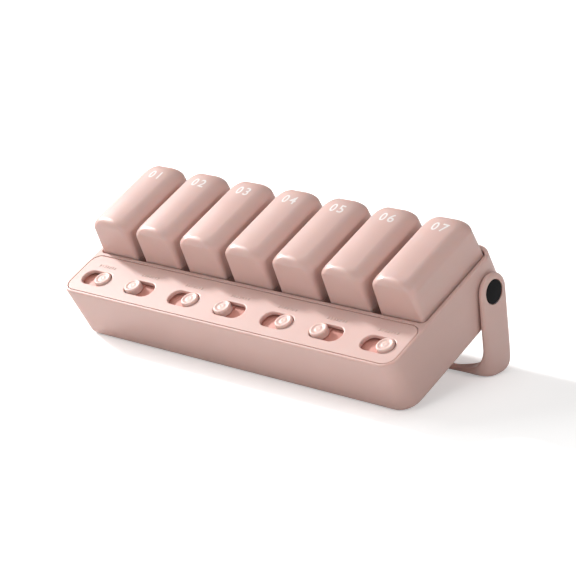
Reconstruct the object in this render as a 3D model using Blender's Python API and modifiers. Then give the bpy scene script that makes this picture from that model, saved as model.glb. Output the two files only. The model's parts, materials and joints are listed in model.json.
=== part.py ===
"""Weekly pill organizer: a sloping tray with seven lidded pods, seven sliders and a folding stand.

Everything is in metres. Tray coordinates run x along the tray, y up the slope from the front rim
and z square to the rim, from the tray's bottom plane. The empty tray_frame carries them.
"""
import math

import bmesh
import bpy
from mathutils import Matrix, Vector

# Layout of the tray and the pods
POD_COUNT = 7
POD_PITCH = 0.0260
POD_WIDTH = 0.0216
POD_DEPTH = 0.0424
POD_RISE = 0.0176
TILT = math.radians(23.7)
FIT_GAP = 0.0003
OVERRUN = 0.0010

# Tray
RIM_HEIGHT = 0.0256
FRONT_RIM = 0.0012
PANEL_RIM = 0.0010
PANEL_BAY_DEPTH = 0.0225
DIVIDER_WIDTH = 0.0016
POD_CLEARANCE = 0.0005
END_CLEARANCE = 0.00076
SIDE_WALL = 0.0020
REAR_WALL = 0.0030
TRAY_FLOOR = 0.0020
SIDE_DRAFT = 0.0007
FRONT_DRAFT = 0.0011
REAR_DRAFT = 0.0006
PLAN_CORNER = 0.0062
REAR_PLAN_CORNER = 0.0072
FOOT_ROUND = 0.0030
RIM_ROUND = 0.0010
WELL_CORNER = 0.0022
WELL_SIDE_DRAFT = 0.0012
WELL_END_DRAFT = 0.0006
RIB_HEIGHT = 0.0025

# Slider panel, track and knobs
PANEL_THICKNESS = 0.0015
PANEL_GROOVE = 0.0003
TRACK_THICKNESS = 0.0024
TRACK_LEDGE = 0.0022
TRACK_SIDE_WALL = 0.0020
POCKET_DEPTH = 0.0013
SLOT_Y = 0.0104
SLOT_LENGTH = 0.0156
SLOT_WIDTH = 0.00816
KNOB_RADIUS = 0.0037
KNOB_RISE = 0.0010
KNOB_EDGE = 0.0005
KNOB_DISH_RADIUS = 0.0025
KNOB_DISH_DEPTH = 0.0004
KNOB_FOOT_WIDTH = 0.0110
KNOB_FOOT_LENGTH = 0.0060
KNOB_FOOT_THICKNESS = 0.0008
POST_RADIUS = 0.0026
SCREW_RADIUS = 0.0009
SCREW_HEAD_RADIUS = 0.0020
SCREW_HEAD_HEIGHT = 0.0011
SCREW_LENGTH = 0.0080
SCREW_BAYS = (0.5, 2.5, 3.5, 5.5)

# Pod shells
POD_WALL = 0.0012
POD_SEAM_DROP = 0.0010
POD_CORNER = 0.0018
POD_REAR_CORNER = 0.0030
POD_SIDE_ROUND = 0.0062
POD_FRONT_ROUND = 0.0028
POD_REAR_ROUND = 0.0052
POD_FRONT_LEAN = 0.0003
CROWN_CORNER_SHARE = 0.3
CUP_SIDE_TAPER = 0.0012
CUP_FRONT_TAPER = 0.0012
CUP_REAR_TAPER = 0.0009
CUP_FLOOR = 0.0014
CUP_CORNER = 0.0018

# Lid hinge
PIN_RADIUS = 0.0006
KNUCKLE_RADIUS = 0.0017
CUP_KNUCKLE_LENGTH = 0.0036
LID_KNUCKLE_LENGTH = 0.0024
LUG_DEPTH = 0.0050

# Stand
PIVOT_Y = 0.0603
PIVOT_Z = 0.0130
BOSS_RADIUS = 0.0076
LEG_WIDTH = 0.0152
LEG_THICKNESS = 0.0022
LEG_ROUND = 0.0014
LEG_LEAN = math.radians(2.2)
LEG_HEEL_ROUND = 0.0062
LEG_TOE_ROUND = 0.0022
BAR_DEPTH = 0.0032
BAR_HEIGHT = 0.0023
BAR_CLEARANCE = 0.0003
BAR_FILLET = 0.0105
CAP_RADIUS = 0.00480
CAP_THICKNESS = 0.0006
CAP_RECESS = 0.0009
CAP_STEM_RADIUS = 0.0010
BUSH_RADIUS = 0.0023
BUSH_BORE = 0.0013

# Facets of the round forms
CORNER_STEPS = 4
RIM_STEPS = 3
ARC_STEPS = 6
ROUND_STEPS = 20
SMALL_STEPS = 12
SMOOTH_ANGLE = math.radians(35)
RIM_ANGLE = math.radians(80)

# Sizes that follow from those above
WELL_HALF = (POD_COUNT - 1) / 2 * POD_PITCH + POD_WIDTH / 2 + END_CLEARANCE
RIM_HALF = WELL_HALF + SIDE_WALL
PANEL_BAY_REAR = FRONT_RIM + PANEL_BAY_DEPTH
WELL_FRONT = PANEL_BAY_REAR + DIVIDER_WIDTH
WELL_REAR = WELL_FRONT + POD_DEPTH + 2 * POD_CLEARANCE
TRAY_DEPTH = WELL_REAR + REAR_WALL
POD_FRONT = WELL_FRONT + POD_CLEARANCE
POD_REAR = POD_FRONT + POD_DEPTH
SEAM_HEIGHT = RIM_HEIGHT - POD_SEAM_DROP
POD_TOP = RIM_HEIGHT + POD_RISE
PANEL_BOTTOM = RIM_HEIGHT - PANEL_THICKNESS
TRACK_TOP = PANEL_BOTTOM - FIT_GAP
TRACK_BOTTOM = TRACK_TOP - TRACK_THICKNESS
LEDGE_HEIGHT = TRACK_BOTTOM - FIT_GAP
POCKET_FLOOR = TRACK_TOP - POCKET_DEPTH
KNOB_BOTTOM = POCKET_FLOOR + FIT_GAP
KNOB_TRAVEL = SLOT_LENGTH - 2 * KNOB_RADIUS - 2 * FIT_GAP
HINGE_Y = POD_REAR + KNUCKLE_RADIUS
HINGE_Z = RIM_HEIGHT + FIT_GAP + KNUCKLE_RADIUS


def wall_x(height):
    """Half length of the tray's outside at a height, which the side draft narrows downward."""
    return RIM_HALF - SIDE_DRAFT * (1 - height / RIM_HEIGHT)


LEG_INNER = wall_x(PIVOT_Z + BOSS_RADIUS) + FIT_GAP
LEG_OUTER = LEG_INNER + LEG_THICKNESS


def pod_x(index):
    """Centre of a pod along the tray."""
    return (index - (POD_COUNT - 1) / 2) * POD_PITCH


def new_collection(name):
    """Collection linked to the scene."""
    collection = bpy.data.collections.new(name)
    bpy.context.scene.collection.children.link(collection)
    return collection


def new_material(name, colour, roughness, metallic=0.0):
    """Plain material with a colour, roughness and metallic value."""
    material = bpy.data.materials.new(name)
    material.use_nodes = True
    shader = material.node_tree.nodes['Principled BSDF']
    shader.inputs['Base Color'].default_value = (*colour, 1.0)
    shader.inputs['Roughness'].default_value = roughness
    shader.inputs['Metallic'].default_value = metallic
    return material


def add_object(name, mesh, collection, parent=None):
    """Object in a collection, under a parent."""
    made = bpy.data.objects.new(name, mesh)
    collection.objects.link(made)
    made.parent = parent
    return made


def add_cutter(name, bm):
    """Wire-drawn tool in tray coordinates, for cutting or joining."""
    mesh = bpy.data.meshes.new(name)
    bm.to_mesh(mesh)
    bm.free()
    tool = add_object(name, mesh, CUTTERS, TRAY_FRAME)
    tool.hide_render = True
    tool.display_type = 'WIRE'
    return tool


def combine(target, tool, operation='DIFFERENCE'):
    """Exact Boolean of a tool with a target."""
    boolean = target.modifiers.new(tool.name, 'BOOLEAN')
    boolean.operation = operation
    boolean.object = tool
    boolean.solver = 'EXACT'


def bake(target):
    """Mesh with a target's modifiers applied."""
    bpy.context.view_layer.update()
    graph = bpy.context.evaluated_depsgraph_get()
    return bpy.data.meshes.new_from_object(target.evaluated_get(graph))


def round_shade(mesh):
    """Smooth shading with sharp edges kept."""
    mesh.shade_smooth()
    mesh.set_sharp_from_angle(angle=SMOOTH_ANGLE)


def tapered_block(low, high, corner, rear_corner, foot_round=0.0, rim_round=0.0):
    """Block between two plans, each (half length, front, rear, height), with rounded upright edges."""
    bm = bmesh.new()
    bmesh.ops.create_cube(bm, size=1)
    for vert in bm.verts:
        half, front, rear, height = high if vert.co.z > 0 else low
        vert.co = (math.copysign(half, vert.co.x), rear if vert.co.y > 0 else front, height)
    middle = (low[3] + high[3]) / 2
    middle_y = (high[1] + high[2]) / 2
    for at_rear, radius in ((False, corner), (True, rear_corner)):
        upright = [edge for edge in bm.edges
                   if (edge.verts[0].co.z > middle) != (edge.verts[1].co.z > middle)
                   and (edge.verts[0].co.y > middle_y) == at_rear
                   and edge.calc_face_angle() > RIM_ANGLE]
        bmesh.ops.bevel(bm, geom=upright, offset=radius, segments=CORNER_STEPS, profile=0.5, affect='EDGES')
    if foot_round > 0:
        foot = [edge for edge in bm.edges if all(vert.co.z < middle for vert in edge.verts)]
        bmesh.ops.bevel(bm, geom=foot, offset=foot_round, segments=CORNER_STEPS, profile=0.5, affect='EDGES')
    if rim_round > 0:
        rim = [edge for edge in bm.edges if all(vert.co.z > middle for vert in edge.verts)]
        bmesh.ops.bevel(bm, geom=rim, offset=rim_round, segments=RIM_STEPS, profile=0.5, affect='EDGES')
    return bm


def box(x_low, x_high, y_low, y_high, z_low, z_high):
    """Plain block between two corners."""
    bm = bmesh.new()
    bmesh.ops.create_cube(bm, size=1)
    for vert in bm.verts:
        vert.co = (
            x_high if vert.co.x > 0 else x_low,
            y_high if vert.co.y > 0 else y_low,
            z_high if vert.co.z > 0 else z_low,
        )
    return bm


def upright_cylinder(x, y, z_low, z_high, radius, steps=ROUND_STEPS):
    """Cylinder along z."""
    bm = bmesh.new()
    place = Matrix.Translation((x, y, (z_low + z_high) / 2))
    bmesh.ops.create_cone(bm, cap_ends=True, segments=steps, radius1=radius, radius2=radius,
                          depth=z_high - z_low, matrix=place)
    return bm


def cross_cylinder(x_low, x_high, y, z, radius, steps=SMALL_STEPS):
    """Cylinder along x."""
    bm = bmesh.new()
    turn = Matrix.Rotation(math.radians(90), 4, 'Y')
    place = Matrix.Translation(((x_low + x_high) / 2, y, z)) @ turn
    bmesh.ops.create_cone(bm, cap_ends=True, segments=steps, radius1=radius, radius2=radius,
                          depth=x_high - x_low, matrix=place)
    return bm


def stadium(x, y, z_low, z_high, length, width):
    """Slot form with round ends: a cylinder whose halves are drawn apart along x."""
    bm = bmesh.new()
    half_step = Matrix.Rotation(math.pi / ROUND_STEPS, 4, 'Z')
    place = Matrix.Translation((0, 0, (z_low + z_high) / 2)) @ half_step
    bmesh.ops.create_cone(bm, cap_ends=True, segments=ROUND_STEPS, radius1=width / 2, radius2=width / 2,
                          depth=z_high - z_low, matrix=place)
    for vert in bm.verts:
        vert.co.x += math.copysign((length - width) / 2, vert.co.x)
    bmesh.ops.translate(bm, verts=bm.verts, vec=(x, y, 0))
    return bm


def turned(name, profile, collection, parent, steps=ROUND_STEPS):
    """Turned piece about z from a profile of (radius, height) points, top to bottom."""
    mesh = bpy.data.meshes.new(name)
    edges = [(step, step + 1) for step in range(len(profile) - 1)]
    mesh.from_pydata([(radius, 0, height) for radius, height in profile], edges, [])
    piece = add_object(name, mesh, collection, parent)
    screw = piece.modifiers.new('turn', 'SCREW')
    screw.axis = 'Z'
    screw.steps = steps
    screw.render_steps = steps
    screw.use_merge_vertices = True
    screw.merge_threshold = FIT_GAP / 100
    screw.use_smooth_shade = True
    return piece


def plan_ring(half, front, rear, corner, rear_corner, height):
    """Rounded rectangle at a height, counter-clockwise from the rear right corner."""
    points = []
    corners = ((half, rear - rear_corner, 0, rear_corner), (-half, rear - rear_corner, 1, rear_corner),
               (-half, front + corner, 2, corner), (half, front + corner, 3, corner))
    for x, y, quarter, radius in corners:
        centre = Vector((x - math.copysign(radius, x), y, height))
        for step in range(CORNER_STEPS + 1):
            angle = (quarter + step / CORNER_STEPS) * math.pi / 2
            points.append(centre + radius * Vector((math.cos(angle), math.sin(angle), 0)))
    return points


def loft(rings):
    """Closed body through rings of equally many points, the first and last ring filled."""
    bm = bmesh.new()
    loops = [[bm.verts.new(point) for point in ring] for ring in rings]
    for lower, upper in zip(loops, loops[1:]):
        for here, there in zip(range(len(lower)), [*range(1, len(lower)), 0]):
            bm.faces.new((lower[here], lower[there], upper[there], upper[here]))
    bm.faces.new(reversed(loops[0]))
    bm.faces.new(loops[-1])
    bmesh.ops.recalc_face_normals(bm, faces=bm.faces)
    return bm


def edge_inset(height, top, radius):
    """How far a rounded top edge has drawn in at a height."""
    rise = max(0.0, height - (top - radius))
    return radius - math.sqrt(max(0.0, radius ** 2 - rise ** 2))


def dome(bottom, inset):
    """Pod's upper form about x = 0, drawn in by an inset, from a bottom height to its crown."""
    top = POD_TOP - inset
    side_round = POD_SIDE_ROUND - inset
    front_round = POD_FRONT_ROUND - inset
    rear_round = POD_REAR_ROUND - inset
    lean_rate = POD_FRONT_LEAN / POD_RISE
    shoulder = max(side_round, rear_round)
    heights = [bottom]
    for step in range(CORNER_STEPS + 2):
        angle = step / (CORNER_STEPS + 1) * math.pi / 2
        heights.append(top - shoulder + shoulder * math.sin(angle))
    rings = []
    for height in heights:
        half = POD_WIDTH / 2 - inset - edge_inset(height, top, side_round)
        front = POD_FRONT + inset + lean_rate * (height - SEAM_HEIGHT) + edge_inset(height, top, front_round)
        rear = POD_REAR - inset - edge_inset(height, top, rear_round)
        growth = CROWN_CORNER_SHARE * edge_inset(height, top, side_round) - inset / 2
        rings.append(plan_ring(half, front, rear, POD_CORNER + growth, POD_REAR_CORNER + growth, height))
    return loft(rings)


def make_tray():
    """Tray: outer block with the pod well, the slider bay, locating ribs and screw posts."""
    outside = tapered_block(
        (RIM_HALF - SIDE_DRAFT, FRONT_DRAFT, TRAY_DEPTH - REAR_DRAFT, 0),
        (RIM_HALF, 0, TRAY_DEPTH, RIM_HEIGHT), PLAN_CORNER, REAR_PLAN_CORNER, FOOT_ROUND, RIM_ROUND)
    mesh = bpy.data.meshes.new('tray_body')
    outside.to_mesh(mesh)
    outside.free()
    tray = add_object('tray_body', mesh, PARTS, TRAY_FRAME)
    mesh.materials.append(SHELL_PINK)
    cut_well(tray)
    cut_slider_bay(tray)
    add_ribs(tray)
    add_posts(tray)
    for side in (-1, 1):
        near = side * (LEG_INNER + OVERRUN)
        far = side * (WELL_HALF - WELL_SIDE_DRAFT - OVERRUN)
        hole = cross_cylinder(min(near, far), max(near, far), PIVOT_Y, PIVOT_Z, BUSH_RADIUS + FIT_GAP, ROUND_STEPS)
        combine(tray, add_cutter('pivot_hole', hole))
    return tray


def cut_well(tray):
    """Long open well that the seven pods stand in, drafted like the outside."""
    rise = RIM_HEIGHT - TRAY_FLOOR
    over = OVERRUN / rise
    low = (WELL_HALF - WELL_SIDE_DRAFT, WELL_FRONT + WELL_END_DRAFT, WELL_REAR - WELL_END_DRAFT, TRAY_FLOOR)
    high = (WELL_HALF + WELL_SIDE_DRAFT * over, WELL_FRONT - WELL_END_DRAFT * over,
            WELL_REAR + WELL_END_DRAFT * over, RIM_HEIGHT + OVERRUN)
    combine(tray, add_cutter('well_cutter', tapered_block(low, high, WELL_CORNER, POD_REAR_CORNER + POD_CLEARANCE)))


def cut_slider_bay(tray):
    """Stepped recess for the panel and the track, over a hollow bay."""
    steps = (
        (RIM_HALF - PANEL_RIM, FRONT_RIM, PANEL_BAY_REAR, PANEL_BOTTOM - FIT_GAP, PLAN_CORNER - PANEL_RIM),
        (RIM_HALF - TRACK_LEDGE, TRACK_LEDGE + FRONT_DRAFT / 2, PANEL_BAY_REAR - PANEL_RIM, LEDGE_HEIGHT,
         PLAN_CORNER - TRACK_LEDGE),
        (RIM_HALF - TRACK_LEDGE - TRACK_SIDE_WALL - SIDE_DRAFT / 2, FRONT_DRAFT + TRACK_LEDGE + PANEL_RIM,
         PANEL_BAY_REAR - PANEL_RIM - TRACK_SIDE_WALL, TRAY_FLOOR, WELL_CORNER),
    )
    for half, front, rear, floor, corner in steps:
        cutter = tapered_block((half, front, rear, floor), (half, front, rear, RIM_HEIGHT + OVERRUN), corner, corner)
        combine(tray, add_cutter('slider_bay_cutter', cutter))


def add_ribs(tray):
    """Low seats on the well's floor between the pods, which keep their feet in place."""
    foot_half = POD_WIDTH / 2 - CUP_SIDE_TAPER + FIT_GAP
    slope = CUP_SIDE_TAPER / (SEAM_HEIGHT - TRAY_FLOOR)
    reach = foot_half + slope * RIB_HEIGHT
    for index in range(POD_COUNT - 1):
        rib = box(pod_x(index) + reach, pod_x(index + 1) - reach, WELL_FRONT + WELL_CORNER,
                  WELL_REAR - WELL_CORNER, TRAY_FLOOR / 2, TRAY_FLOOR + RIB_HEIGHT)
        combine(tray, add_cutter('rib', rib), 'UNION')


def add_posts(tray):
    """Posts on the floor of the slider bay with a hole for each track screw."""
    for bay in SCREW_BAYS:
        x = pod_x(bay)
        post = upright_cylinder(x, SLOT_Y, TRAY_FLOOR / 2, LEDGE_HEIGHT, POST_RADIUS, SMALL_STEPS)
        combine(tray, add_cutter('post', post), 'UNION')
        hole = upright_cylinder(x, SLOT_Y, TRACK_TOP - SCREW_LENGTH - OVERRUN, RIM_HEIGHT,
                                SCREW_RADIUS + FIT_GAP, SMALL_STEPS)
        combine(tray, add_cutter('post_hole', hole))


def make_panel():
    """Flat panel, flush with the rim, with a slot for each knob."""
    half = RIM_HALF - PANEL_RIM - PANEL_GROOVE
    front = FRONT_RIM + PANEL_GROOVE
    rear = PANEL_BAY_REAR - PANEL_GROOVE
    corner = PLAN_CORNER - PANEL_RIM - PANEL_GROOVE
    plate = tapered_block((half, front, rear, PANEL_BOTTOM), (half, front, rear, RIM_HEIGHT), corner, corner)
    mesh = bpy.data.meshes.new('slider_panel')
    plate.to_mesh(mesh)
    plate.free()
    mesh.materials.append(SHELL_PINK)
    panel = add_object('slider_panel', mesh, PARTS, TRAY_FRAME)
    for index in range(POD_COUNT):
        slot = stadium(pod_x(index), SLOT_Y, PANEL_BOTTOM - OVERRUN, RIM_HEIGHT + OVERRUN,
                       SLOT_LENGTH, SLOT_WIDTH)
        combine(panel, add_cutter('slot', slot))


def make_track():
    """Track plate under the panel: a pocket for each knob's foot and counterbored screw holes."""
    half = RIM_HALF - TRACK_LEDGE - FIT_GAP
    front = TRACK_LEDGE + FRONT_DRAFT / 2 + FIT_GAP
    rear = PANEL_BAY_REAR - PANEL_RIM - FIT_GAP
    corner = PLAN_CORNER - TRACK_LEDGE - FIT_GAP
    plate = tapered_block((half, front, rear, TRACK_BOTTOM), (half, front, rear, TRACK_TOP), corner, corner)
    mesh = bpy.data.meshes.new('slider_track')
    plate.to_mesh(mesh)
    plate.free()
    mesh.materials.append(TRACK_PINK)
    track = add_object('slider_track', mesh, PARTS, TRAY_FRAME)
    pocket_half = SLOT_LENGTH / 2 + FIT_GAP
    pocket_depth_half = KNOB_FOOT_WIDTH / 2 + FIT_GAP
    for index in range(POD_COUNT):
        x = pod_x(index)
        pocket = box(x - pocket_half, x + pocket_half, SLOT_Y - pocket_depth_half, SLOT_Y + pocket_depth_half,
                     POCKET_FLOOR, TRACK_TOP + OVERRUN)
        combine(track, add_cutter('pocket', pocket))
    for bay in SCREW_BAYS:
        x = pod_x(bay)
        hole = upright_cylinder(x, SLOT_Y, TRACK_BOTTOM - OVERRUN, TRACK_TOP + OVERRUN,
                                SCREW_RADIUS + FIT_GAP, SMALL_STEPS)
        combine(track, add_cutter('track_hole', hole))
        head_room = upright_cylinder(x, SLOT_Y, TRACK_TOP - SCREW_HEAD_HEIGHT - FIT_GAP, TRACK_TOP + OVERRUN,
                                     SCREW_HEAD_RADIUS + FIT_GAP, SMALL_STEPS)
        combine(track, add_cutter('head_room', head_room))


def make_track_screws():
    """Screws from the track's counterbores into the tray's posts."""
    tip = -SCREW_LENGTH
    profile = [(0, 0), (SCREW_HEAD_RADIUS, 0), (SCREW_HEAD_RADIUS, -SCREW_HEAD_HEIGHT),
               (SCREW_RADIUS, -SCREW_HEAD_HEIGHT), (SCREW_RADIUS, tip + SCREW_RADIUS), (0, tip)]
    for number, bay in enumerate(SCREW_BAYS, 1):
        screw = turned(f'track_screw_{number}', profile, PARTS, TRAY_FRAME, SMALL_STEPS)
        screw.data.materials.append(STEEL)
        screw.location = (pod_x(bay), SLOT_Y, TRACK_TOP)


def make_knobs():
    """Knobs with a dished top and a wide foot that runs in the track's pocket."""
    top = RIM_HEIGHT + KNOB_RISE - KNOB_BOTTOM
    profile = [(0, top - KNOB_DISH_DEPTH), (KNOB_DISH_RADIUS, top - KNOB_DISH_DEPTH),
               (KNOB_DISH_RADIUS + KNOB_DISH_DEPTH, top), (KNOB_RADIUS - KNOB_EDGE, top),
               (KNOB_RADIUS, top - KNOB_EDGE), (KNOB_RADIUS, 0), (0, 0)]
    pattern = turned('knob_pattern', profile, CUTTERS, None)
    pattern.data.materials.append(KNOB_PINK)
    foot = box(-KNOB_FOOT_LENGTH / 2, KNOB_FOOT_LENGTH / 2, -KNOB_FOOT_WIDTH / 2, KNOB_FOOT_WIDTH / 2,
               0, KNOB_FOOT_THICKNESS)
    foot_tool = add_cutter('knob_foot', foot)
    foot_tool.parent = None
    combine(pattern, foot_tool, 'UNION')
    mesh = bake(pattern)
    round_shade(mesh)
    bpy.data.objects.remove(pattern)
    for index in range(POD_COUNT):
        at_right = index % 2 == 0
        knob = add_object(f'slider_knob_{index + 1}', mesh, PARTS, TRAY_FRAME)
        shift = KNOB_TRAVEL / 2 if at_right else -KNOB_TRAVEL / 2
        knob.location = (pod_x(index) + shift, SLOT_Y, KNOB_BOTTOM)


def make_cup():
    """Pod's lower half: an open tapered cup with the hinge lug at its rear."""
    low_z = TRAY_FLOOR + FIT_GAP
    half = POD_WIDTH / 2
    low = (half - CUP_SIDE_TAPER, POD_FRONT + CUP_FRONT_TAPER, POD_REAR - CUP_REAR_TAPER, low_z)
    high = (half, POD_FRONT, POD_REAR, SEAM_HEIGHT - FIT_GAP)
    outside = tapered_block(low, high, CUP_CORNER, POD_REAR_CORNER, POD_WALL / 2)
    mesh = bpy.data.meshes.new('cup_pattern')
    outside.to_mesh(mesh)
    outside.free()
    mesh.materials.append(SHELL_PINK)
    cup = add_object('cup_pattern', mesh, CUTTERS, TRAY_FRAME)
    add_cup_lug(cup)
    inner_low = (low[0] - POD_WALL, low[1] + POD_WALL, low[2] - POD_WALL, low_z + CUP_FLOOR)
    inner_high = (half - POD_WALL, POD_FRONT + POD_WALL, POD_REAR - POD_WALL, SEAM_HEIGHT + LUG_DEPTH)
    inside = tapered_block(inner_low, inner_high, CUP_CORNER - POD_WALL / 2, POD_REAR_CORNER - POD_WALL / 2)
    combine(cup, add_cutter('cup_inside', inside))
    hole = cross_cylinder(-CUP_KNUCKLE_LENGTH, CUP_KNUCKLE_LENGTH, HINGE_Y, HINGE_Z, PIN_RADIUS + FIT_GAP)
    combine(cup, add_cutter('cup_pin_hole', hole))
    return cup


def add_cup_lug(cup):
    """Lug that rises from the cup's rear wall to the middle knuckle."""
    half = CUP_KNUCKLE_LENGTH / 2
    riser = box(-half, half, POD_REAR - POD_WALL, POD_REAR, SEAM_HEIGHT - LUG_DEPTH, HINGE_Z + KNUCKLE_RADIUS)
    combine(cup, add_cutter('lug_riser', riser), 'UNION')
    web = box(-half, half, POD_REAR - POD_WALL / 2, HINGE_Y, HINGE_Z - KNUCKLE_RADIUS, HINGE_Z + KNUCKLE_RADIUS)
    combine(cup, add_cutter('lug_web', web), 'UNION')
    knuckle = cross_cylinder(-half, half, HINGE_Y, HINGE_Z, KNUCKLE_RADIUS)
    combine(cup, add_cutter('lug_knuckle', knuckle), 'UNION')


def make_lid():
    """Pod's upper half: a domed shell with two knuckles and a notch for the cup's lug."""
    mesh = bpy.data.meshes.new('lid_pattern')
    outside = dome(SEAM_HEIGHT, 0.0)
    outside.to_mesh(mesh)
    outside.free()
    mesh.materials.append(LID_PINK)
    lid = add_object('lid_pattern', mesh, CUTTERS, TRAY_FRAME)
    combine(lid, add_cutter('lid_inside', dome(SEAM_HEIGHT - OVERRUN, POD_WALL)))
    notch_half = CUP_KNUCKLE_LENGTH / 2 + FIT_GAP
    notch = box(-notch_half, notch_half, POD_REAR - POD_WALL - OVERRUN, POD_REAR + OVERRUN,
                SEAM_HEIGHT - OVERRUN, HINGE_Z + KNUCKLE_RADIUS + FIT_GAP)
    combine(lid, add_cutter('lug_notch', notch))
    for side in (-1, 1):
        near = side * notch_half
        far = side * (notch_half + LID_KNUCKLE_LENGTH)
        low, high = min(near, far), max(near, far)
        web = box(low, high, POD_REAR - POD_WALL / 2, HINGE_Y, HINGE_Z - KNUCKLE_RADIUS, HINGE_Z + KNUCKLE_RADIUS)
        combine(lid, add_cutter('lid_web', web), 'UNION')
        knuckle = cross_cylinder(low, high, HINGE_Y, HINGE_Z, KNUCKLE_RADIUS)
        combine(lid, add_cutter('lid_knuckle', knuckle), 'UNION')
    reach = notch_half + LID_KNUCKLE_LENGTH + OVERRUN
    hole = cross_cylinder(-reach, reach, HINGE_Y, HINGE_Z, PIN_RADIUS + FIT_GAP)
    combine(lid, add_cutter('lid_pin_hole', hole))
    return lid


def make_pods():
    """Seven pods: a cup that lifts out of the well, its hinge pin and its lid."""
    hinge = Vector((0, HINGE_Y, HINGE_Z))
    cup_pattern = make_cup()
    cup_mesh = bake(cup_pattern)
    lid_pattern = make_lid()
    lid_mesh = bake(lid_pattern)
    lid_mesh.transform(Matrix.Translation(-hinge))
    pin_half = CUP_KNUCKLE_LENGTH / 2 + FIT_GAP + LID_KNUCKLE_LENGTH
    pin = cross_cylinder(-pin_half, pin_half, 0, 0, PIN_RADIUS)
    pin_mesh = bpy.data.meshes.new('lid_pin')
    pin.to_mesh(pin_mesh)
    pin.free()
    pin_mesh.materials.append(STEEL)
    for mesh in (cup_mesh, lid_mesh, pin_mesh):
        round_shade(mesh)
    bpy.data.objects.remove(cup_pattern)
    bpy.data.objects.remove(lid_pattern)
    for index in range(POD_COUNT):
        cup = add_object(f'pod_cup_{index + 1}', cup_mesh, PARTS, TRAY_FRAME)
        cup.location.x = pod_x(index)
        hinge_pin = add_object(f'lid_pin_{index + 1}', pin_mesh, PARTS, cup)
        hinge_pin.location = hinge
        lid = add_object(f'pod_lid_{index + 1}', lid_mesh, PARTS, cup)
        lid.location = hinge


def arc(centre_x, centre_y, radius, first, last):
    """Points of an arc between two angles in degrees."""
    steps = max(2, round(abs(last - first) / 90 * ARC_STEPS))
    angles = [math.radians(first + (last - first) * step / steps) for step in range(steps + 1)]
    return [(centre_x + radius * math.cos(angle), centre_y + radius * math.sin(angle)) for angle in angles]


def outline_plate(name, outline, thickness, turn):
    """Mesh of a filled 2D curve with a thickness, turned out of its own plane."""
    curve = bpy.data.curves.new(name, 'CURVE')
    curve.dimensions = '2D'
    curve.fill_mode = 'BOTH'
    curve.extrude = thickness / 2
    spline = curve.splines.new('POLY')
    spline.points.add(len(outline) - 1)
    spline.points.foreach_set('co', [value for u, v in outline for value in (u, v, 0, 1)])
    spline.use_cyclic_u = True
    flat = add_object(name, curve, CUTTERS)
    mesh = bake(flat)
    bpy.data.objects.remove(flat)
    bm = bmesh.new()
    bm.from_mesh(mesh)
    bmesh.ops.remove_doubles(bm, verts=bm.verts, dist=FIT_GAP / 100)
    bmesh.ops.transform(bm, matrix=turn, verts=bm.verts)
    bmesh.ops.recalc_face_normals(bm, faces=bm.faces)
    return bm


def leg_outline(height):
    """Leg in its own plane about the pivot: round boss, straight edges, round heel and small toe."""
    shift = height * math.tan(LEG_LEAN)
    low = -height
    front = shift - LEG_WIDTH / 2
    rear = shift + LEG_WIDTH / 2
    points = arc(0, 0, BOSS_RADIUS, 0, 180)
    points += arc(front + LEG_TOE_ROUND, low + LEG_TOE_ROUND, LEG_TOE_ROUND, 180, 270)
    points += arc(rear - LEG_HEEL_ROUND, low + LEG_HEEL_ROUND, LEG_HEEL_ROUND, 270, 360)
    return points


def bar_outline(height):
    """Crossbar seen from the front, with a fillet up to each leg."""
    bottom = BAR_CLEARANCE - height
    top = bottom + BAR_HEIGHT
    reach = LEG_INNER + LEG_THICKNESS / 2
    right = [(reach, bottom), (reach, top + BAR_FILLET), (LEG_INNER, top + BAR_FILLET)]
    right += arc(LEG_INNER - BAR_FILLET, top + BAR_FILLET, BAR_FILLET, 0, -90)[1:]
    left = [(-x, z) for x, z in reversed(right)]
    return right + left


def make_leg(side, height):
    """Stand leg whose outer rim is rounded over."""
    turn = Matrix(((0, 0, 1, 0), (1, 0, 0, 0), (0, 1, 0, 0), (0, 0, 0, 1)))
    leg = outline_plate('leg', leg_outline(height), LEG_THICKNESS, turn)
    rim = [edge for edge in leg.edges
           if all(side * vert.co.x > 0 for vert in edge.verts)
           and edge.calc_face_angle() > RIM_ANGLE]
    bmesh.ops.bevel(leg, geom=rim, offset=LEG_ROUND, segments=RIM_STEPS, profile=0.5, affect='EDGES')
    bmesh.ops.translate(leg, verts=leg.verts, vec=(side * (LEG_INNER + LEG_OUTER) / 2, 0, 0))
    return leg


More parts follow.
